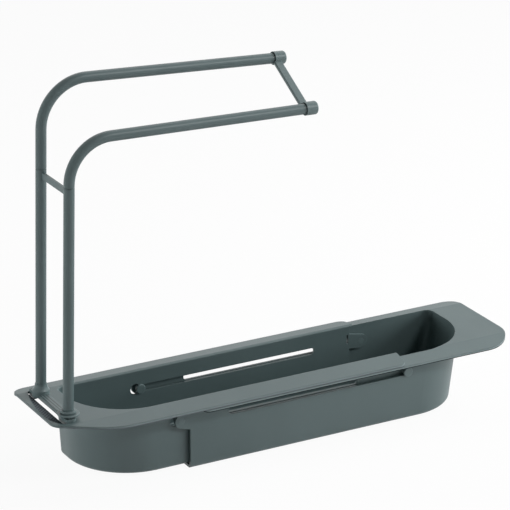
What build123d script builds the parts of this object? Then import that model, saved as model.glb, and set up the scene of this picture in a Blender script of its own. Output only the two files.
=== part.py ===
from build123d import *
import math
import os

# Expandable caddy that bridges a kitchen sink. An inner tray slides inside an outer tray on four
# headed pegs that run in side slots, and a bent-tube cloth rack hooks into the inner tray's end.
# Lengths are in millimetres. X runs along the trays from the rack's end, Y to the back, Z up.
# The origin is the middle of the closed caddy, on the surface that it stands on.

# The whole caddy, closed
closed_length = 379.0
rim_width = 96.0
tray_height = 54.0
cut_over = 3.0

# Rims: flat in the middle, sloping down towards the long edges
rim_thickness = 1.8
rim_slope_width = 15.0
rim_drop = 3.1
rim_gap = 0.3
rim_edge_round = 0.5
rim_front_corner = 26.5
inner_rim_back_corner = 13.0
outer_rim_back_corner = 9.0
rim_end_corner = 5.5
rim_tongue_round = 2.6

# The inner rim's front corner is a long slope with a round at each end
slope_run = 40.0
slope_rise = 18.0
slope_end_round = 10.0
slope_side_round = 70.0

# Troughs: upright side walls, one leaning rounded end, one open end
wall = 2.0
floor = 2.0
side_flange = 15.0
trough_side_gap = 1.4
trough_floor_gap = 0.5
inner_end_inset = 28.0
outer_end_inset = 26.3
inner_end_lean = 3.2
outer_end_lean = 7.0
inner_front_corner_share = 0.742
outer_front_corner_share = 0.646
trough_back_corner_share = 0.12
floor_round = 3.2
mouth_round = 1.5

# How far the trays reach into each other at rest, each from the other tray's closed end
outer_start = 109.7
inner_finish = 99.3
outer_wall_lead = 5.3
inner_wall_setback = 3.0

# Side slots, their ears and the headed pegs
slot_below_rim = 15.2
slot_height = 5.3
slot_land = 31.0
keyhole_diameter = 8.4
keyhole_offset = 3.7
outer_slot_past_peg = 3.4
peg_shank_diameter = 4.8
peg_head_diameter = 7.6
peg_head_height = 1.6
peg_head_round = 0.7
peg_head_gap = 0.3
ear_tip_radius = 5.4
ear_long_side = 7.6
ear_short_side = 4.4
outer_peg_lead = 12.0
inner_peg_lead = 7.5

# Upright slit that lets each ear of the inner tray flex when its peg is pressed in
relief_width = 1.2
relief_height = 7.0
relief_setback = 1.8
relief_above_slot = 3.7

# Drain slots through both floors
drain_width = 3.6
drain_length = 20.0
drain_pitch = 34.0
drain_row_pitch = 17.0
drain_rows = 3
drain_margin = 16.0

# Crescent recess and slit in the inner tray's end flange, where the rack hooks in
recess_lip = 1.0
recess_sagitta = 7.8
recess_widest_margin = 34.0
recess_outer_depth = 0.3
recess_slit_depth = 1.5
recess_floor = 1.4
recess_wall = 1.0
slit_front_margin = 17.5
slit_back_margin = 14.0
slit_width = 3.4

# Pad under that flange, clear of the rack's hooks, which rests level with the outer tray's flange
rest_pad_gap = 1.0
rest_pad_inset = 5.0
rest_pad_round = 3.0

# Rack base: a low bar with a foot and a spigot for each upright
upright_inset = 14.8
upright_back_margin = 24.3
upright_front_margin = 25.6
rack_lean_angle = 1.7
base_width = 6.8
base_height = 2.2
base_overhang = 8.0
foot_height = 4.5
front_foot_diameter = 10.6
front_disc_diameter = 16.2
front_disc_height = 1.4
front_disc_round = 0.5
back_foot_diameter = 12.6
socket_floor = 1.2
spigot_length = 25.0
spigot_chamfer = 0.8

# Hooks of the rack base, down through the slit and under the flange
front_hook_width = 12.0
back_hook_width = 7.4
hook_stem = 1.4
hook_toe = 1.5
hook_thickness = 1.5
hook_gap = 0.3
hook_inset = 1.3

# Front collar: a ring on a narrow neck that leaves a groove above the foot
collar_diameter = 11.4
collar_height = 1.7
collar_neck_diameter = 9.4
collar_neck_height = 0.5
collar_round = 0.5

# Back collar: flares out to the foot
flare_height = 4.6
flare_lip = 0.5

# Tubes: each rail's lower end is drawn down to a spigot that plugs into its upright
tube_diameter = 7.8
tube_bore = 6.2
joint_height = 171.5
joint_groove_diameter = 6.9
joint_groove_height = 0.8
spigot_wall = 0.8
rail_spigot_length = 24.0
shoulder_length = 0.7

# Rails: each centre line's corner is its rise above the joint and its reach from the upright
back_rail_rise = 62.8
front_rail_rise = 32.7
back_rail_reach = 192.4
front_rail_reach = 193.4
back_rail_sag_angle = 1.3
front_rail_sag_angle = -0.2
back_rail_bend_radius = 34.0
front_rail_bend_radius = 31.5

# Flat bar that ties the uprights
tie_height = 4.6
tie_thickness = 2.0
tie_below_joint = 4.5

# End bar: a closed cup over each rail's end, joined by a flat bar
cup_diameter = 9.8
cup_length = 9.5
cup_end = 1.4
cup_round = 1.6
cup_mouth_gap = 0.5
cup_mouth_depth = 1.2
end_bar_width = 6.4
end_bar_thickness = 2.6
end_bar_round = 0.9
back_bar_inset = 7.6
front_bar_inset = 8.4

# Places that follow from the sizes above
left_end = -closed_length / 2
right_end = closed_length / 2
rim_top = tray_height
outer_rim_top = rim_top - rim_thickness - rim_gap
inner_rim_end = right_end - inner_finish
outer_rim_start = left_end + outer_start
inner_half = rim_width / 2 - side_flange
outer_half = inner_half + trough_side_gap + wall
inner_bottom = floor + trough_floor_gap
inner_wall_end = inner_rim_end - inner_wall_setback
outer_wall_start = outer_rim_start - outer_wall_lead
slot_z = rim_top - slot_below_rim
outer_peg_x = outer_rim_start - outer_peg_lead
inner_peg_x = inner_rim_end + inner_peg_lead
upright_x = left_end + upright_inset
upright_front_y = upright_front_margin - rim_width / 2
upright_back_y = rim_width / 2 - upright_back_margin
slit_front_y = slit_front_margin - rim_width / 2
slit_back_y = rim_width / 2 - slit_back_margin
recess_widest_y = recess_widest_margin - rim_width / 2
slit_left = left_end + recess_lip + recess_sagitta
slit_right = slit_left + slit_width

STANDING = (Align.CENTER, Align.CENTER, Align.MIN)


def round_corners(plan, corners):
    """Rounds some corners of a plan; each entry is the corner's x, y and radius."""
    for x, y, radius in corners:
        plan = fillet(plan.vertices().sort_by_distance((x, y, 0))[0], radius)
    return plan


def inner_rim_plan():
    """Plan of the inner tray's rim, with two tongues beside its open end."""
    edge = rim_width / 2
    mouth = inner_half - wall
    points = [(left_end, edge), (inner_rim_end, edge), (inner_rim_end, mouth), (inner_wall_end, mouth)]
    points += [(inner_wall_end, -mouth), (inner_rim_end, -mouth), (inner_rim_end, -edge)]
    points += [(left_end + slope_run, -edge), (left_end, -edge + slope_rise)]
    plan = make_face(Polyline(*points, close=True))
    corners = [(left_end, edge, inner_rim_back_corner), (left_end, -edge + slope_rise, slope_end_round)]
    corners.append((left_end + slope_run, -edge, slope_side_round))
    for side in (edge, -edge):
        corners.append((inner_rim_end, side, rim_end_corner))
    return round_corners(plan, corners)


def tongue_corner(side):
    """Cutter that rounds the corner of a rim tongue beside the tray's open end."""
    x = inner_rim_end - rim_tongue_round
    y = inner_half - wall + rim_tongue_round
    reach = rim_tongue_round + cut_over
    square = Pos(x + reach / 2, side * (y - reach / 2)) * Rectangle(reach, reach)
    corner = square - Pos(x, side * y) * Circle(rim_tongue_round)
    return extrude(Pos(0, 0, rim_top - rim_thickness - cut_over) * corner, rim_thickness + 2 * cut_over)


def outer_rim_plan():
    """Plan of the outer tray's rim."""
    edge = rim_width / 2
    middle = (outer_rim_start + right_end) / 2
    plan = Pos(middle, 0) * Rectangle(right_end - outer_rim_start, rim_width)
    corners = [(right_end, -edge, rim_front_corner), (right_end, edge, outer_rim_back_corner)]
    corners += [(outer_rim_start, -edge, rim_end_corner), (outer_rim_start, edge, rim_end_corner)]
    return round_corners(plan, corners)


def roof_profile(top, depth):
    """Section across a rim: flat in the middle and sloping down to both edges, depth thick."""
    edge = rim_width / 2
    flat = edge - rim_slope_width
    fall = rim_drop * (rim_slope_width + cut_over) / rim_slope_width
    reach = edge + cut_over
    points = [(-reach, top - fall), (-flat, top), (flat, top), (reach, top - fall)]
    points += [(reach, top - fall - depth), (flat, top - depth)]
    points += [(-flat, top - depth), (-reach, top - fall - depth)]
    return make_face(Plane.YZ * Polyline(*points, close=True))


def roof(top, depth):
    """The rim's section carried along the whole caddy."""
    run = closed_length / 2 + cut_over
    return extrude(roof_profile(top, depth), run, both=True)


def crowned_rim(plan, top):
    """A rim plate: its plan cut out of the sloping roof."""
    column = extrude(plan, tray_height + cut_over)
    return column & roof(top, rim_thickness)


def trough_plan(x_open, x_end, half, front_radius, back_radius):
    """Plan of a trough that is open at one end and has two rounded corners at the other."""
    middle = (x_open + x_end) / 2
    plan = Pos(middle, 0) * Rectangle(abs(x_open - x_end), 2 * half)
    return round_corners(plan, [(x_end, -half, front_radius), (x_end, half, back_radius)])


def trough_block(x_open, x_end, lean, half, radii, low, high, top):
    """Solid between two trough plans; the closed end leans inwards towards the bottom."""
    inward = 1 if x_end < x_open else -1
    faces = []
    for z in (low, high):
        shift = inward * lean * (top - z) / tray_height
        plan = trough_plan(x_open, x_end + shift, half, *radii)
        faces.append(Pos(0, 0, z) * plan)
    return loft(faces, ruled=True)


def trough(x_open, x_end, lean, half, front_share, bottom, top):
    """Open-ended trough with a rounded floor edge inside and out."""
    inward = 1 if x_end < x_open else -1
    front_radius = front_share * 2 * half
    back_radius = trough_back_corner_share * 2 * half
    radii = (front_radius, back_radius)
    outside = trough_block(x_open, x_end, lean, half, radii, bottom, top, top)
    outside = fillet(floor_edges(outside, x_open), floor_round)
    x_past = x_open + inward * cut_over
    x_inside = x_end + inward * wall
    radii = (front_radius - wall, back_radius - wall)
    depth = (bottom + floor, top + cut_over, top)
    inside = trough_block(x_past, x_inside, lean, half - wall, radii, *depth)
    inside = fillet(floor_edges(inside, x_past), floor_round - wall)
    return outside, inside


def floor_edges(block, x_open):
    """Edges round the bottom of a trough block, without the one across its open end."""
    level = block.edges().group_by(Axis.Z)[0]
    return level.filter_by(lambda edge: abs(edge.center().X - x_open) > wall)


def side_slot(x_low, x_high):
    """Cutter for the slots in both side walls."""
    run = Pos((x_low + x_high) / 2, slot_z) * SlotOverall(x_high - x_low, slot_height)
    return extrude(Plane.XZ * run, rim_width / 2, both=True)


def round_bore(x, diameter):
    """Cutter for a round hole through both side walls at the slots' height."""
    return extrude(Plane.XZ * Pos(x, slot_z) * Circle(diameter / 2), rim_width / 2, both=True)


def ear_pair(x_peg, x_wall, half, above, below):
    """Tabs that carry a pair of pegs beyond the ends of the side walls, tapering to round tips."""
    root = x_wall + math.copysign(wall, x_wall - x_peg)
    tip = Pos(x_peg, slot_z) * Circle(ear_tip_radius)
    foot = Line((root, slot_z - below), (root, slot_z + above))
    shoulder = Line((x_wall, slot_z - below), (x_wall, slot_z + above))
    tab = make_hull(tip.edges() + [foot, shoulder])
    solid = extrude(Plane.XZ * tab, half, both=True)
    gap = Box(closed_length, 2 * (half - wall), tray_height + cut_over)
    return solid - Pos(0, 0, tray_height / 2) * gap


def drain_slots(x_low, x_high):
    """Rows of drain slots; the middle row is set half a pitch along."""
    usable = x_high - x_low - 2 * drain_margin
    count = int(usable // drain_pitch)
    middle = (x_low + x_high) / 2
    slots = Sketch()
    for row in range(drain_rows):
        y = (row - (drain_rows - 1) / 2) * drain_row_pitch
        number = count - row % 2
        for index in range(number):
            x = middle + (index - (number - 1) / 2) * drain_pitch
            slots += Pos(x, y) * SlotOverall(drain_length, drain_width)
    return extrude(slots, 2 * floor + cut_over)


def crescent(grow):
    """Plan of the flange recess: straight along the slit, bowed towards the flange's end."""
    widest = left_end + recess_lip - grow
    back = (slit_left, slit_back_y + grow)
    front = (slit_left, slit_front_y - grow)
    belly = (widest, recess_widest_y)
    back_bow = TangentArc(belly, back, tangent=(0, 1))
    front_bow = TangentArc(belly, front, tangent=(0, -1))
    return make_face([back_bow, front_bow, Line(front, back)])


def recess_block(grow, lower):
    """The crescent's plan above a slope that falls towards the slit, from lower below the floor."""
    run = recess_sagitta + cut_over
    inner_end = rim_top - recess_slit_depth - lower
    outer_end = inner_end + (recess_slit_depth - recess_outer_depth) * run / recess_sagitta
    top = rim_top + cut_over
    points = [(slit_left, inner_end), (slit_left, top), (slit_left - run, top), (slit_left - run, outer_end)]
    above = extrude(Plane.XZ * make_face(Polyline(*points, close=True)), rim_width / 2, both=True)
    return extrude(crescent(grow), top) & above


def rest_pad():
    """Pad beside the slit, from the flange down to the level of the outer tray's flange."""
    hooks_end = slit_left + hook_inset + hook_stem + hook_toe
    x_low = hooks_end + rest_pad_gap
    x_high = left_end + inner_end_inset + wall / 2
    y_low = slit_front_y + rest_pad_inset
    y_high = slit_back_y - rest_pad_inset
    outline = RectangleRounded(x_high - x_low, y_high - y_low, rest_pad_round)
    level = outer_rim_top - rim_thickness
    pad = extrude(outline, rim_top - rim_thickness / 2 - level)
    return Pos((x_low + x_high) / 2, (y_low + y_high) / 2, level) * pad


def inner_tray():
    """The sliding tray at the rack's end."""
    plan = inner_rim_plan()
    x_end = left_end + inner_end_inset
    shape = (inner_end_lean, inner_half, inner_front_corner_share, inner_bottom, rim_top)
    outside, inside = trough(inner_wall_end, x_end, *shape)
    pad = recess_block(recess_wall, recess_floor) & extrude(plan, rim_top - rim_thickness / 2)
    body = crowned_rim(plan, rim_top) + outside
    body += ear_pair(inner_peg_x, inner_wall_end, inner_half, ear_long_side, ear_short_side)
    body += pad + rest_pad()
    body -= inside
    body = fillet(mouth_edges(body, rim_top, inner_half - wall), mouth_round)
    for side in (-1, 1):
        body -= tongue_corner(side)
    slot_low = outer_peg_x - keyhole_offset
    body -= side_slot(slot_low, inner_wall_end - slot_land) + round_bore(slot_low, keyhole_diameter)
    body -= round_bore(inner_peg_x, peg_shank_diameter)
    relief = Pos(inner_wall_end - relief_setback, 0, slot_z + relief_above_slot)
    body -= relief * Box(relief_width, rim_width, relief_height)
    body -= drain_slots(x_end + inner_end_lean, inner_wall_end)
    body -= recess_block(0, 0)
    slit_middle = Pos((slit_left + slit_right) / 2, (slit_front_y + slit_back_y) / 2, rim_top)
    return body - slit_middle * Box(slit_width, slit_back_y - slit_front_y, 4 * cut_over)


def mouth_edges(body, level, half):
    """Edges round a trough's opening, all at one level."""
    edges = ShapeList()
    for edge in body.edges():
        box = edge.bounding_box()
        flat = box.min.Z > level - rim_edge_round and box.max.Z < level + rim_edge_round
        inside = box.size.X > wall or box.size.Y > wall
        within = max(abs(box.min.Y), abs(box.max.Y)) < half + rim_edge_round
        past_slit = box.min.X > slit_right + wall
        if flat and inside and within and past_slit:
            edges.append(edge)
    return edges


def outer_tray():
    """The tray that the inner one slides in."""
    x_end = right_end - outer_end_inset
    shape = (outer_end_lean, outer_half, outer_front_corner_share, 0, outer_rim_top)
    outside, inside = trough(outer_wall_start, x_end, *shape)
    body = crowned_rim(outer_rim_plan(), outer_rim_top) + (outside & roof(outer_rim_top, tray_height))
    body += ear_pair(outer_peg_x, outer_wall_start, outer_half, ear_short_side, ear_long_side)
    body -= inside
    body -= side_slot(outer_wall_start + slot_land, inner_peg_x + outer_slot_past_peg)
    body -= round_bore(outer_peg_x, peg_shank_diameter)
    return body - drain_slots(outer_wall_start, x_end - outer_end_lean)


def peg(start, length, outward, x):
    """Headed peg on Y: its shank starts in the ear and its head is at the far end."""
    shank = Cylinder(peg_shank_diameter / 2, length, align=STANDING)
    head = Cylinder(peg_head_diameter / 2, peg_head_height, align=STANDING)
    head = fillet(head.edges().group_by(Axis.Z)[-1], peg_head_round)
    pin = shank + Pos(0, 0, length) * head
    place = Plane(origin=(x, start, slot_z), x_dir=(1, 0, 0), z_dir=(0, outward, 0))
    return place * pin


def outer_peg(side):
    """Peg of the outer tray: pressed through its ear, head inside the inner tray."""
    length = 2 * wall + trough_side_gap + peg_head_gap
    return peg(side * outer_half, length, -side, outer_peg_x)


def inner_peg(side):
    """Peg of the inner tray: pressed through its ear, head outside the outer tray."""
    length = 2 * wall + trough_side_gap + peg_head_gap
    return peg(side * (inner_half - wall), length, side, inner_peg_x)


def lean(shape):
    """Set a piece of the rack, drawn upright, in its leaning place above the flange."""
    return Pos(upright_x, 0, rim_top) * Rot(0, rack_lean_angle, 0) * shape


def front_foot():
    """Round foot under a wider disc, drawn down past the flange so that its lean leaves no gap."""
    body = Cylinder(front_foot_diameter / 2, foot_height + base_height, align=STANDING)
    disc = Cylinder(front_disc_diameter / 2, front_disc_height, align=STANDING)
    disc = fillet(disc.edges().filter_by(GeomType.CIRCLE), front_disc_round)
    body = Pos(0, 0, -base_height) * body + Pos(0, 0, foot_height - front_disc_height) * disc
    return Pos(0, upright_front_y, 0) * body


def back_foot():
    """Plain round foot, drawn down in the same way."""
    body = Cylinder(back_foot_diameter / 2, foot_height + base_height, align=STANDING)
    return Pos(0, upright_back_y, -base_height) * body


def rack_pocket(y):
    """Cutter for the upright's pocket in a foot."""
    return Pos(0, y, socket_floor) * Cylinder(tube_diameter / 2, 2 * foot_height, align=STANDING)


def rack_spigot(y):
    """Pin that stands in the pocket, inside the upright's bore."""
    pin = Cylinder(tube_bore / 2, spigot_length, align=STANDING)
    pin = chamfer(pin.edges().group_by(Axis.Z)[-1], spigot_chamfer)
    return Pos(0, y, socket_floor) * pin


def rack_hook(y_low, y_high):
    """Lug beside the bar with a hook that passes down through the slit and under the flange."""
    x_stem = slit_left + hook_inset
    drop = rim_thickness + hook_gap + hook_thickness
    width = y_high - y_low
    corner = (Align.MIN, Align.MIN, Align.MIN)
    lug = Box(upright_x - x_stem, width, base_height, align=corner)
    stem = Box(hook_stem, width, drop + base_height, align=corner)
    toe = Box(hook_stem + hook_toe, width, hook_thickness, align=corner)
    return Pos(x_stem, y_low, rim_top) * (lug + Pos(0, 0, -drop) * (stem + toe))


def rack_base():
    """Low bar across the flange with a foot at each upright and a hook at each end."""
    length = upright_back_y - upright_front_y + 2 * base_overhang
    middle = (upright_back_y + upright_front_y) / 2
    bar = extrude(SlotOverall(length, base_width, rotation=90), base_height)
    above = Box(4 * upright_inset, rim_width, 2 * foot_height, align=STANDING)
    feet = lean(front_foot() + back_foot()) & (Pos(upright_x, 0, rim_top) * above)
    body = Pos(upright_x, middle, rim_top) * bar + feet
    for y in (upright_front_y, upright_back_y):
        body -= lean(rack_pocket(y))
        body += lean(rack_spigot(y))
    front = slit_front_y + hook_gap
    body += rack_hook(front, front + front_hook_width)
    back = slit_back_y - hook_gap
    return body + rack_hook(back - back_hook_width, back)


def front_collar():
    """Ring round the front upright, on a neck that keeps a groove above the foot."""
    neck = Cylinder(collar_neck_diameter / 2, collar_neck_height, align=STANDING)
    ring = Cylinder(collar_diameter / 2, collar_height, align=STANDING)
    ring = fillet(ring.edges().group_by(Axis.Z)[-1], collar_round)
    body = neck + Pos(0, 0, collar_neck_height) * ring
    body -= Cylinder(tube_diameter / 2, 2 * (collar_height + cut_over))
    return lean(Pos(0, upright_front_y, foot_height) * body)


def back_collar():
    """Sleeve round the back upright that flares out to its foot in a hollow curve."""
    bore = tube_diameter / 2
    lip = bore + flare_lip
    foot = back_foot_diameter / 2
    curve = TangentArc((lip, flare_height), (foot, 0), tangent=(0, -1))
    sides = Polyline((foot, 0), (bore, 0), (bore, flare_height), (lip, flare_height))
    body = revolve(Plane.XZ * make_face([curve, sides]), Axis.Z)
    return lean(Pos(0, upright_back_y, foot_height) * body)


def tube_along(path):
    """Tube swept along a path that starts straight up."""
    start = Plane(origin=path @ 0, z_dir=path % 0)
    outside = sweep(start * Circle(tube_diameter / 2), path=path)
    inside = sweep(start * Circle(tube_bore / 2), path=path)
    return outside - inside


def upright(y):
    """Straight tube from its pocket in the foot to the groove below the rail."""
    top = joint_height - joint_groove_height / 2
    return lean(tube_along(Line((0, y, socket_floor), (0, y, top))))


def rail_end(y, rise, reach, sag):
    """Point on a rail's centre line at a distance from the upright's axis."""
    return Vector(reach, y, joint_height + rise - reach * math.tan(math.radians(sag)))


def rail(y, rise, reach, sag, bend_radius):
    """Bent tube over to the end bar's cup, with a spigot that plugs into its upright."""
    bottom = Vector(0, y, joint_height + joint_groove_height / 2)
    corner = rail_end(y, rise, 0, sag)
    tip = rail_end(y, rise, reach - cup_end, sag)
    tangent_length = bend_radius * math.tan(math.radians(90 + sag) / 2)
    bend_start = corner - Vector(0, 0, tangent_length)
    bend_end = corner + (tip - corner).normalized() * tangent_length
    bend = TangentArc(bend_start, bend_end, tangent=(0, 0, 1))
    body = tube_along(Line(bottom, bend_start) + bend + Line(bend_end, tip))
    spigot = Cylinder(tube_bore / 2, rail_spigot_length + shoulder_length, align=STANDING)
    spigot_bottom = Pos(0, y, bottom.Z - rail_spigot_length)
    body += spigot_bottom * spigot
    body += Pos(0, y, joint_height) * Cylinder(joint_groove_diameter / 2, joint_groove_height)
    spigot_bore = Cylinder(tube_bore / 2 - spigot_wall, 2 * (rail_spigot_length + shoulder_length))
    return lean(body - spigot_bottom * spigot_bore)


def tie_bar():
    """Flat bar between the uprights, shaped to the tubes at both ends."""
    middle = (upright_back_y + upright_front_y) / 2
    bar = Box(tie_thickness, upright_back_y - upright_front_y, tie_height)
    level = joint_height - tie_below_joint
    body = Pos(0, middle, level) * bar
    for y in (upright_front_y, upright_back_y):
        body -= Pos(0, y, level) * Cylinder(tube_diameter / 2, 2 * tie_height)
    return lean(body)


def end_cup(y, rise, reach, sag):
    """Plane at the closed end of a cup, facing back along its rail."""
    tip = rail_end(y, rise, reach, sag)
    root = rail_end(y, rise, 0, sag)
    return Plane(origin=tip, x_dir=(0, 1, 0), z_dir=root - tip)


def end_bar():
    """Two closed cups joined by a flat bar."""
    back = end_cup(*rails["back"])
    front = end_cup(*rails["front"])
    cup = Cylinder(cup_diameter / 2, cup_length, align=STANDING)
    cup = fillet(cup.edges().group_by(Axis.Z)[0], cup_round)
    start = back.origin + back.z_dir * back_bar_inset
    finish = front.origin + front.z_dir * front_bar_inset
    span = finish - start
    along = Vector(1, 0, 0)
    across = along - span * (along.dot(span) / span.dot(span))
    section = RectangleRounded(end_bar_width, end_bar_thickness, end_bar_round)
    bar = extrude(Plane(origin=start, x_dir=across, z_dir=span) * section, span.length)
    body = bar + back * cup + front * cup
    bore = Pos(0, 0, cup_end) * Cylinder(tube_diameter / 2, cup_length + cut_over, align=STANDING)
    mouth = Cylinder(tube_diameter / 2 + cup_mouth_gap, cup_length, align=STANDING)
    bore += Pos(0, 0, cup_length - cup_mouth_depth) * mouth
    body -= back * bore
    return lean(body - front * bore)


rails = {
    "back": (upright_back_y, back_rail_rise, back_rail_reach, back_rail_sag_angle),
    "front": (upright_front_y, front_rail_rise, front_rail_reach, front_rail_sag_angle),
}
bend_radii = {"back": back_rail_bend_radius, "front": front_rail_bend_radius}

pieces = {"inner_tray": inner_tray(), "outer_tray": outer_tray(), "rack_base": rack_base()}
for place, side in (("front", -1), ("back", 1)):
    pieces["outer_tray_peg_" + place] = outer_peg(side)
    pieces["inner_tray_peg_" + place] = inner_peg(side)
    pieces["upright_" + place] = upright(rails[place][0])
    pieces["rail_" + place] = rail(*rails[place], bend_radii[place])
pieces["foot_collar_front"] = front_collar()
pieces["foot_collar_back"] = back_collar()
pieces["tie_bar"] = tie_bar()
pieces["end_bar"] = end_bar()

os.makedirs("parts", exist_ok=True)
for name, piece in pieces.items():
    export_step(piece, "parts/" + name + ".step")
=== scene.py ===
import math

import bpy
from mathutils import Matrix, Vector

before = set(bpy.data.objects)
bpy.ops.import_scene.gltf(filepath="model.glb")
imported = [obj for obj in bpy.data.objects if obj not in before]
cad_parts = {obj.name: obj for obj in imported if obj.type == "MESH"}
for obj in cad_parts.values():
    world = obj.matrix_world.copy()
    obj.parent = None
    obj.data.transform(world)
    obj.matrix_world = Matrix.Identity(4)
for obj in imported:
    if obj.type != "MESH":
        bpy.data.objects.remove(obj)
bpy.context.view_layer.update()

# Camera: place and aim in metres, as fitted to the outlines in the photograph
camera_place = Vector((-0.8920, -1.5993, 0.8361))
camera_aim = Vector((-0.0124, 0.0, 0.13985))
camera_lens = 189.7
camera_sensor = 36.0
camera_roll_degrees = 0.08

# Lights: soft panels round the object, each with its place, size in metres and power in watts
light_aim = Vector((0.0, 0.0, 0.06))
light_panels = {
    "back_panel": {"place": (0.55, 0.95, 1.5), "size": (1.5, 1.1), "power": 5.6},
    "left_panel": {"place": (-1.9, 0.55, 0.22), "size": (0.9, 0.4), "power": 18.5},
    "right_panel": {"place": (1.8, -1.0, 0.6), "size": (0.9, 0.75), "power": 25.0},
    "far_right_panel": {"place": (1.9, -0.1, 1.1), "size": (0.8, 0.8), "power": 5.0},
    "near_right_panel": {"place": (0.9, 0.0, 0.75), "size": (0.5, 0.5), "power": 6.0},
    "front_strip": {"place": (0.97, -1.42, 1.47), "size": (0.6, 0.14), "power": 11.0},
}
# Panels that show in reflections; the others would glare along the tubes when seen from the side
mirrored_panels = ("back_panel", "front_strip")
world_fill = 0.02

# Floor, in metres: its reach to each side, and its place below the object's lowest face
floor_half_width = 4.0
floor_drop = 0.0004
floor_white_share = 0.94

# Masks fade in over one of these widths, in metres
mask_fade = 0.0002
fine_mask_fade = 0.0001
# A face counts as facing up once the upright part of its normal has passed these
facing_up_levels = (0.3, 0.6)

# Crescent recess in the inner tray's end flange, in metres: the slit's side, the recess's widest
# place, and the circles that bound it behind and in front of that, each with its middle and radius
recess_side = -0.1807
recess_widest = -0.014
recess_back_circle = (-0.03691, 0.15159)
recess_front_circle = (-0.16715, 0.02135)
recess_top = 0.05376
recess_dot_pitch = 0.0029
recess_dot_levels = (-0.1, 0.5)

# Painted shade lines standing for the grooves between fine ridges along the top of the rack's bar,
# in metres
bar_top = 0.0562
bar_top_band = (0.0002, 0.0004)
bar_ridge_pitch = 0.0022
bar_ridge_limits = (-0.1778, -0.1728)
bar_ridge_fade = 0.0003
bar_shade_line_levels = (-0.2, 0.7)
bar_shade_line_depth = 0.62

# Rims, in metres: how far the flat middle reaches, the fall to the long edge over the slope's
# width, the thickness, and the places past which a side face is the rim's own edge
rim_flat_half = 0.033
rim_slope = 3.1 / 15.0
rim_thickness = 0.0018
rim_end_faces = (-0.1893, 0.165)
rim_plain_end_fade = 0.001
inner_rim_edge = {"top": 0.054, "past": 0.0315, "back_past": 0.0347}
outer_rim_edge = {"top": 0.0519, "past": 0.035, "back_past": 0.035}

# Heights across a rim's edge, 0 at its foot and 1 on top: where the edge begins and ends, where it
# turns up and how much, where its painted highlight begins, and where its painted shade line ends
rim_foot_fade = (-0.05, 0.0)
rim_top_fade = (1.02, 1.08)
rim_lift_heights = (0.1, 0.75)
rim_lift = 1.2
rim_painted_highlight_heights = (0.2, 0.45)
rim_painted_shade_line_heights = (0.22, 0.4)

# Moulded plastic: its noises, and how much each changes the surface
plastic_clouds = {"scale": 14.0, "detail": 4.0}
plastic_cloud_levels = (0.32, 0.7)
plastic_grain = {"scale": 2400.0, "detail": 2.0, "roughness": 0.6}
plastic_streaks = {"scale": 60.0}
plastic_bump_strength = 0.35
plastic_streak_change = 0.07
plastic_grain_change = 0.05
plastic_ior = 1.49
bevel_samples = 4

# Matt surface of the recess and of the painted shade line under a rim
matt_finish = {"Roughness": 0.85, "Specular IOR Level": 0.1}

# Coat of the tubes: its noises, and how much each changes the surface
coat_clouds = {"scale": 22.0}
coat_cloud_levels = (0.3, 0.72)
coat_peel = {"scale": 700.0, "detail": 1.0, "roughness": 0.4}
coat_grain = {"scale": 2600.0, "detail": 2.0}
coat_grain_share = 0.3
coat_bump = {"Strength": 0.15, "Distance": 0.0001}
coat_roughness = 0.42
coat_streaks = {"scale": 90.0}
coat_streak_change = 0.08
coat_ior = 1.5

noise_middle = 0.5


def linear(red, green, blue):
    """Colour written as 8-bit display values, as shader values, by the sRGB curve."""
    colour = []
    for value in (red, green, blue):
        share = value / 255
        curved = ((share + 0.055) / 1.055) ** 2.4
        colour.append(share / 12.92 if share < 0.04045 else curved)
    return (*colour, 1.0)


black = (0.0, 0.0, 0.0, 1.0)
white = (1.0, 1.0, 1.0, 1.0)
floor_colour = linear(240, 240, 240)
# Painted highlight: lighter colour on the upper part of a rim's edge
rim_painted_highlight_colour = linear(122, 138, 139)
# Painted shade: near-black line along the foot of a rim's edge
rim_painted_shade_line_colour = linear(26, 33, 34)
recess_colour = linear(110, 117, 122)
recess_dot_colour = linear(56, 61, 67)

# Looks: light and dark of the faint clouds, roughness, and in metres the grain's depth and the
# radius of the softened edges
tray_look = {
    "light": linear(90, 106, 107),
    "dark": linear(84, 100, 101),
    "roughness": 0.42,
    "grain_depth": 0.00012,
    "edge_radius": 0.0005,
}
rack_look = {
    "light": linear(99, 115, 116),
    "dark": linear(93, 109, 110),
    "roughness": 0.38,
    "grain_depth": 0.00008,
    "edge_radius": 0.0003,
}
# Pegs: coloured lighter than the trays' plastic as painted light, for the light falling on the
# back peg's head
peg_painted_light_look = {
    "light": linear(98, 115, 116),
    "dark": linear(92, 109, 110),
    "roughness": 0.34,
    "grain_depth": 0.00006,
    "edge_radius": 0.0006,
}
tube_light = linear(90, 106, 107)
tube_dark = linear(84, 100, 101)


class Value:
    """A shader socket; arithmetic on it adds the Math nodes that work the expression out."""

    def __init__(self, finish, socket):
        self.finish = finish
        self.socket = socket

    def math(self, operation, *values):
        inputs = dict(enumerate(values))
        return self.finish.node("Math", {"operation": operation}, inputs)[0]

    def __add__(self, other):
        return self.math("ADD", self, other)

    def __radd__(self, other):
        return self.math("ADD", other, self)

    def __sub__(self, other):
        return self.math("SUBTRACT", self, other)

    def __rsub__(self, other):
        return self.math("SUBTRACT", other, self)

    def __mul__(self, other):
        return self.math("MULTIPLY", self, other)

    def __rmul__(self, other):
        return self.math("MULTIPLY", other, self)

    def __truediv__(self, other):
        return self.math("DIVIDE", self, other)

    def __pow__(self, other):
        return self.math("POWER", self, other)

    def larger(self, other):
        return self.math("MAXIMUM", self, other)

    def size(self):
        return self.math("ABSOLUTE", self)

    def wave(self, pitch):
        """Cosine with its crests a pitch apart."""
        return self.math("COSINE", self * (2 * math.pi / pitch))

    def between(self, low, high):
        """0 at low and below, 1 at high and above, smooth in between."""
        settings = {"interpolation_type": "SMOOTHSTEP"}
        inputs = {"Value": self, "From Min": low, "From Max": high}
        return self.finish.node("MapRange", settings, inputs)["Result"]


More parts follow.
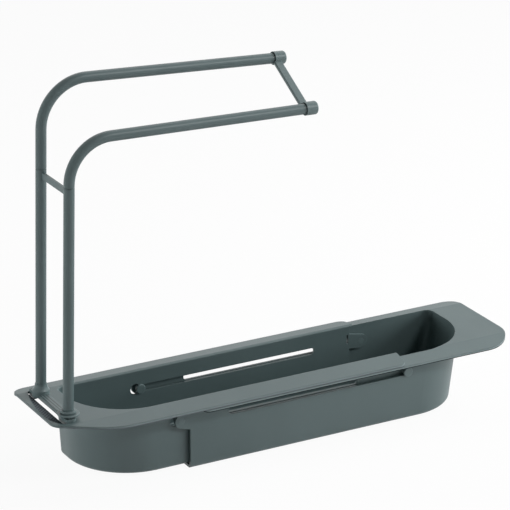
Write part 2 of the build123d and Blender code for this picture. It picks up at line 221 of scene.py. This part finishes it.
class Made:
    """A new node; its outputs are read by name or number."""

    def __init__(self, finish, node):
        self.finish = finish
        self.node = node

    def __getitem__(self, key):
        return Value(self.finish, self.node.outputs[key])


class Finish:
    """A material, or the world, while its nodes are made."""

    def __init__(self, owner):
        self.owner = owner
        owner.use_nodes = True
        self.tree = owner.node_tree
        self.tree.nodes.clear()

    def node(self, kind, settings=(), inputs=()):
        """Adds a node: settings are set first, then the value or link of each socket."""
        node = self.tree.nodes.new("ShaderNode" + kind)
        for key, value in dict(settings).items():
            setattr(node, key, value)
        for key, value in dict(inputs).items():
            if isinstance(value, Value):
                self.tree.links.new(value.socket, node.inputs[key])
            else:
                node.inputs[key].default_value = value
        return Made(self, node)

    def output(self, shader, kind="OutputMaterial"):
        """Ends the nodes with this shader and gives back what they belong to."""
        self.node(kind, {}, {"Surface": shader})
        return self.owner

    def principled(self, inputs):
        return self.node("BsdfPrincipled", {}, inputs)["BSDF"]

    def mix_shaders(self, factor, first, second):
        return self.node("MixShader", {}, {0: factor, 1: first, 2: second})[0]

    def mix(self, factor, first, second):
        """Colour between first and second."""
        settings = {"data_type": "RGBA"}
        return self.node("Mix", settings, {0: factor, 6: first, 7: second})[2]

    def noise(self, place, scale, detail=3.0, roughness=0.5):
        inputs = {"Vector": place, "Scale": scale, "Detail": detail, "Roughness": roughness}
        return self.node("TexNoise", {}, inputs)["Fac"]

    def object_place(self):
        return self.node("TexCoord")["Object"]

    def softened(self, radius):
        """Normal that rounds sharp edges to this radius."""
        return self.node("Bevel", {"samples": bevel_samples}, {"Radius": radius})["Normal"]

    def vector(self, operation, inputs):
        return self.node("VectorMath", {"operation": operation}, inputs)["Vector"]

    def split(self, vector):
        """The three numbers of a vector."""
        parts = self.node("SeparateXYZ", {}, {0: vector})
        return parts["X"], parts["Y"], parts["Z"]

    def upright_part(self):
        """Upright part of the face's own normal: 1 facing up, 0 on a side, -1 facing down."""
        return self.split(self.node("NewGeometry")["True Normal"])[2]

    def facing_up(self):
        """1 where the surface faces up."""
        return self.upright_part().between(*facing_up_levels)


def recess_share(finish, place):
    """1 on the recess's sloping floor: inside the crescent, facing up, below the rim."""
    x, y, z = finish.split(place)
    along = y - recess_widest
    inside = []
    for middle, radius in (recess_back_circle, recess_front_circle):
        away = ((x - middle) * (x - middle) + along * along) ** 0.5
        inside.append(1 - away.between(radius - mask_fade, radius))
    behind = along.between(-fine_mask_fade, fine_mask_fade)
    crescent = inside[0] * behind + inside[1] * (1 - behind)
    low = 1 - z.between(recess_top, recess_top + fine_mask_fade)
    beside_slit = 1 - x.between(recess_side, recess_side + mask_fade)
    return crescent * low * beside_slit * finish.facing_up()


def recess_dots(finish, place):
    """Rows of fine dots, 1 in each dot: the product of two crossing waves, cut off."""
    x, y, _ = finish.split(place)
    return (x.wave(recess_dot_pitch) * y.wave(recess_dot_pitch)).between(*recess_dot_levels)


def bar_ridge_painted_shade(finish, place):
    """Colour multiplier of the rack's bar: painted shade, thin dark lines for the grooves between
    the ridges on its top.
    """
    x, _, z = finish.split(place)
    low, high = bar_ridge_limits
    shade_lines = (x - low).wave(bar_ridge_pitch).between(*bar_shade_line_levels)
    shade_lines = shade_lines * (1 - x.between(high, high + bar_ridge_fade))
    near, far = bar_top_band
    above = z.between(bar_top - far, bar_top - near)
    top = above * (1 - z.between(bar_top + near, bar_top + far))
    return 1 - bar_shade_line_depth * shade_lines * top * finish.facing_up()


def rim_edge(finish, place, edge):
    """A rim's own edge: its share, 1 on the edge and 0 off it, and the height across it."""
    x, y, z = finish.split(place)
    fall = rim_slope * (y.size() - rim_flat_half).larger(0.0)
    height = (z - edge["top"] + fall) / rim_thickness + 1
    band = height.between(*rim_foot_fade) * (1 - height.between(*rim_top_fade))
    left, right = rim_end_faces
    left_end = 1 - x.between(left - fine_mask_fade, left + fine_mask_fade)
    ends = left_end.larger(x.between(right, right + rim_plain_end_fade))
    front = 1 - y.between(-edge["past"] - mask_fade, -edge["past"])
    sides = front.larger(y.between(edge["back_past"], edge["back_past"] + mask_fade))
    standing = 1 - finish.upright_part().size().between(*facing_up_levels)
    return band * sides.larger(ends) * standing, height


def rounded_edge(finish, share, height, normal):
    """Normal of a rim whose edge is rounded over: it turns up by 50 degrees towards the top."""
    lift = rim_lift * share * height.between(*rim_lift_heights)
    up = finish.vector("SCALE", {0: (0.0, 0.0, 1.0), "Scale": lift})
    both = finish.vector("ADD", {0: normal, 1: up})
    return finish.vector("NORMALIZE", {0: both})


def moulded_surface(finish, place, look, normal):
    """Sockets of moulded plastic: fine spark-eroded grain and faint clouding."""
    clouds = finish.noise(place, **plastic_clouds).between(*plastic_cloud_levels)
    grain = finish.noise(place, **plastic_grain)
    streaks = finish.noise(place, **plastic_streaks)
    roughness = look["roughness"] + plastic_streak_change * (streaks - noise_middle)
    bump_inputs = {
        "Strength": plastic_bump_strength,
        "Distance": look["grain_depth"],
        "Height": grain,
        "Normal": normal,
    }
    return {
        "Base Color": finish.mix(clouds, look["dark"], look["light"]),
        "Roughness": roughness + plastic_grain_change * (grain - noise_middle),
        "Normal": finish.node("Bump", {}, bump_inputs)["Normal"],
        "IOR": plastic_ior,
    }


def moulded_plastic(name, look, shade=None):
    """Grey-green moulded plastic with softened edges; shade darkens its colour."""
    finish = Finish(bpy.data.materials.new(name))
    place = finish.object_place()
    surface = moulded_surface(finish, place, look, finish.softened(look["edge_radius"]))
    if shade:
        surface["Base Color"] = finish.mix(shade(finish, place), black, surface["Base Color"])
    return finish.output(finish.principled(surface))


def tray_plastic(name, look, edge, recessed=False):
    """Moulded plastic of a tray: rounded rim edges with a painted highlight over a painted shade
    line, and a matt recess.
    """
    finish = Finish(bpy.data.materials.new(name))
    place = finish.object_place()
    share, height = rim_edge(finish, place, edge)
    rounded = rounded_edge(finish, share, height, finish.softened(look["edge_radius"]))
    surface = moulded_surface(finish, place, look, rounded)
    # Painted highlight: the upper part of a rim's edge is coloured lighter
    painted_highlight = share * height.between(*rim_painted_highlight_heights)
    surface["Base Color"] = finish.mix(painted_highlight, surface["Base Color"], rim_painted_highlight_colour)
    # Painted shade: the foot of a rim's edge is coloured dark, as the shadow under the rim; the
    # recess is real
    shade_line_and_recess_share = share * (1 - height.between(*rim_painted_shade_line_heights))
    shade_line_and_recess_colour = rim_painted_shade_line_colour
    if recessed:
        recess = recess_share(finish, place)
        dots = recess_dots(finish, place) * recess
        shade_line_and_recess_share = shade_line_and_recess_share.larger(recess)
        shade_line_and_recess_colour = finish.mix(dots, recess_colour, recess_dot_colour)
    shade_line_and_recess_surface = finish.principled({"Base Color": shade_line_and_recess_colour, **matt_finish})
    return finish.output(finish.mix_shaders(shade_line_and_recess_share, finish.principled(surface), shade_line_and_recess_surface))


def coated_tube(name, light, dark):
    """Satin coat on steel tube: faint orange peel under fine grain."""
    finish = Finish(bpy.data.materials.new(name))
    place = finish.object_place()
    clouds = finish.noise(place, **coat_clouds).between(*coat_cloud_levels)
    peel = finish.noise(place, **coat_peel) + coat_grain_share * finish.noise(place, **coat_grain)
    streaks = finish.noise(place, **coat_streaks)
    surface = {
        "Base Color": finish.mix(clouds, dark, light),
        "Roughness": coat_roughness + coat_streak_change * (streaks - noise_middle),
        "Normal": finish.node("Bump", {}, {"Height": peel, **coat_bump})["Normal"],
        "IOR": coat_ior,
    }
    return finish.output(finish.principled(surface))


def paint(node_name, material):
    """Gives a CAD node its finish."""
    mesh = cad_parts[node_name].data
    mesh.materials.clear()
    mesh.materials.append(material)


def seen_directly(finish):
    """1 for rays from the camera, mirrors and glass, and 0 for the rest."""
    path = finish.node("LightPath")
    direct = path["Is Camera Ray"].larger(path["Is Glossy Ray"])
    return direct.larger(path["Is Transmission Ray"])


def white_floor():
    """Pale floor that shows white but for the object's shadow."""
    half = floor_half_width
    mesh = bpy.data.meshes.new("floor")
    corners = [(-half, -half, -floor_drop), (half, -half, -floor_drop)]
    corners += [(half, half, -floor_drop), (-half, half, -floor_drop)]
    mesh.from_pydata(corners, [], [(0, 1, 2, 3)])
    floor = bpy.data.objects.new("floor", mesh)
    bpy.context.scene.collection.objects.link(floor)
    finish = Finish(bpy.data.materials.new("floor_white"))
    matte = finish.node("BsdfDiffuse", {}, {"Color": floor_colour})["BSDF"]
    glow = finish.node("Emission", {}, {"Color": white, "Strength": 1.0})["Emission"]
    share = seen_directly(finish) * floor_white_share
    mesh.materials.append(finish.output(finish.mix_shaders(share, matte, glow)))


def studio_world():
    """White all round to the camera and in reflections, and a soft grey fill otherwise."""
    world = bpy.data.worlds.new("studio")
    bpy.context.scene.world = world
    finish = Finish(world)
    fill = finish.node("Background", {}, {"Color": white, "Strength": world_fill})["Background"]
    bright = finish.node("Background", {}, {"Color": white, "Strength": 1.0})["Background"]
    finish.output(finish.mix_shaders(seen_directly(finish), fill, bright), "OutputWorld")


def soft_panel(name, place, size, power):
    """Rectangular area light aimed at the object."""
    light = bpy.data.lights.new(name, "AREA")
    light.shape = "RECTANGLE"
    light.size, light.size_y = size
    light.energy = power
    lamp = bpy.data.objects.new(name, light)
    bpy.context.scene.collection.objects.link(lamp)
    lamp.location = place
    lamp.visible_glossy = name in mirrored_panels
    lamp.rotation_euler = (light_aim - lamp.location).to_track_quat("-Z", "Y").to_euler()


def photo_camera():
    """Camera at the photograph's angle and distance."""
    data = bpy.data.cameras.new("camera")
    data.sensor_fit = "HORIZONTAL"
    data.sensor_width = camera_sensor
    data.lens = camera_lens
    camera = bpy.data.objects.new("camera", data)
    bpy.context.scene.collection.objects.link(camera)
    sight = (camera_aim - camera_place).to_track_quat("-Z", "Y").to_matrix()
    roll = Matrix.Rotation(math.radians(camera_roll_degrees), 3, "Z")
    camera.matrix_world = Matrix.Translation(camera_place) @ (sight @ roll).to_4x4()
    bpy.context.scene.camera = camera


outer_tray_finish = tray_plastic("outer_tray_plastic", tray_look, outer_rim_edge)
inner_tray_finish = tray_plastic("inner_tray_plastic", tray_look, inner_rim_edge, recessed=True)
peg_finish = moulded_plastic("peg_plastic", peg_painted_light_look)
rack_finish = moulded_plastic("rack_plastic", rack_look)
bar_finish = moulded_plastic("rack_bar_plastic", rack_look, bar_ridge_painted_shade)
tube_finish = coated_tube("tube_coating", tube_light, tube_dark)

for node_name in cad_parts:
    if node_name.startswith(("upright", "rail", "tie")):
        paint(node_name, tube_finish)
    elif node_name == "rack_base":
        paint(node_name, bar_finish)
    elif node_name.startswith(("foot", "end")):
        paint(node_name, rack_finish)
    elif "peg" in node_name:
        paint(node_name, peg_finish)
    elif node_name == "inner_tray":
        paint(node_name, inner_tray_finish)
    else:
        paint(node_name, outer_tray_finish)

white_floor()
studio_world()
for name, panel in light_panels.items():
    soft_panel(name, **panel)
photo_camera()

bpy.context.scene.view_settings.view_transform = "Standard"
